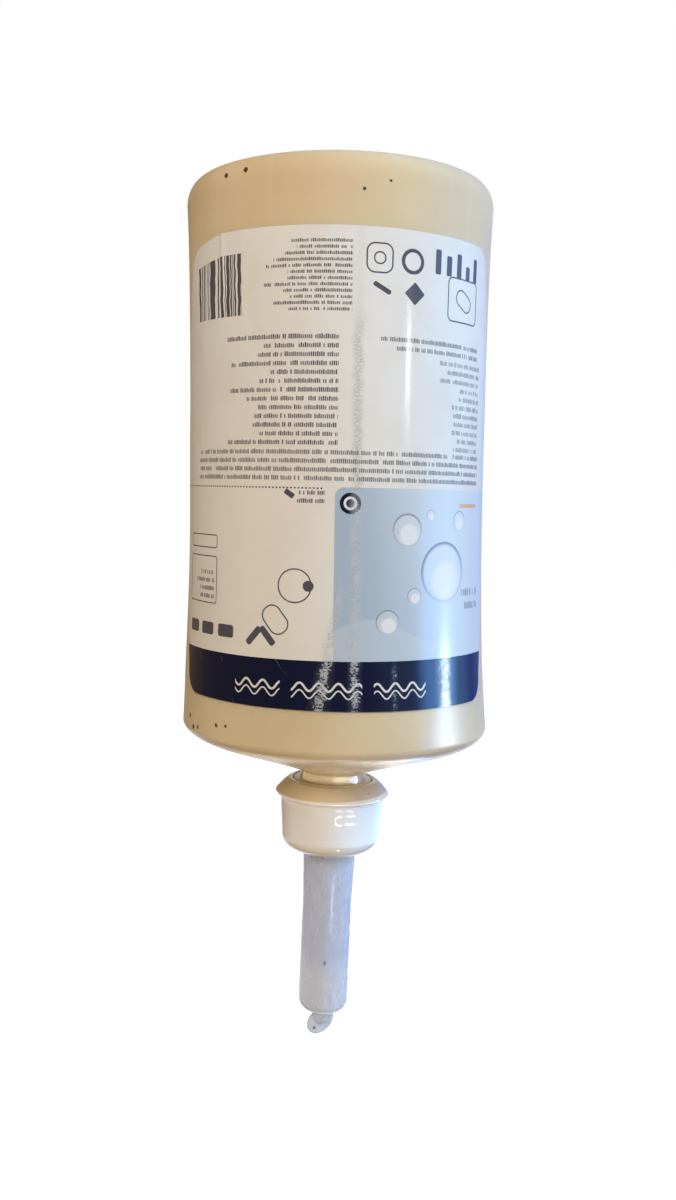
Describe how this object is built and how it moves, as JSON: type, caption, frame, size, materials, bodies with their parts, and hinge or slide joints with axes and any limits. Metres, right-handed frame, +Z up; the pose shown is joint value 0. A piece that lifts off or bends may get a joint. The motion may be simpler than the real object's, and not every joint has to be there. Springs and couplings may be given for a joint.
{
  "type": "liquid soap refill bottle",
  "caption": "Round blown bottle that hangs neck down, with a curved film label, a push-on brimmed collar and a clear squeeze pump tube with a twist-off tip.",
  "frame": {"origin": "on the pump's axis, in the plane of the collar brim's underside, where a holder carries the pack", "axes": "+Z up along the bottle's body, from the pump at the bottom to the base at the top; -Y is the side with the label"},
  "size_m": [0.0947, 0.0948, 0.2654],
  "materials": {
    "bottle_plastic": "cream translucent soft polyethylene, satin",
    "label_film": "printed film label, glossy, scuffed",
    "collar_plastic": "white moulded plastic, glossy",
    "sleeve_plastic": "clear flexible plastic, slightly hazy",
    "valve_plastic": "natural moulded plastic"
  },
  "bodies": {
    "root": {"bottle": "bottle_plastic", "label": "label_film", "collar": "collar_plastic", "pump_sleeve": "sleeve_plastic", "pump_valve": "valve_plastic"}
  },
  "joints": []
}
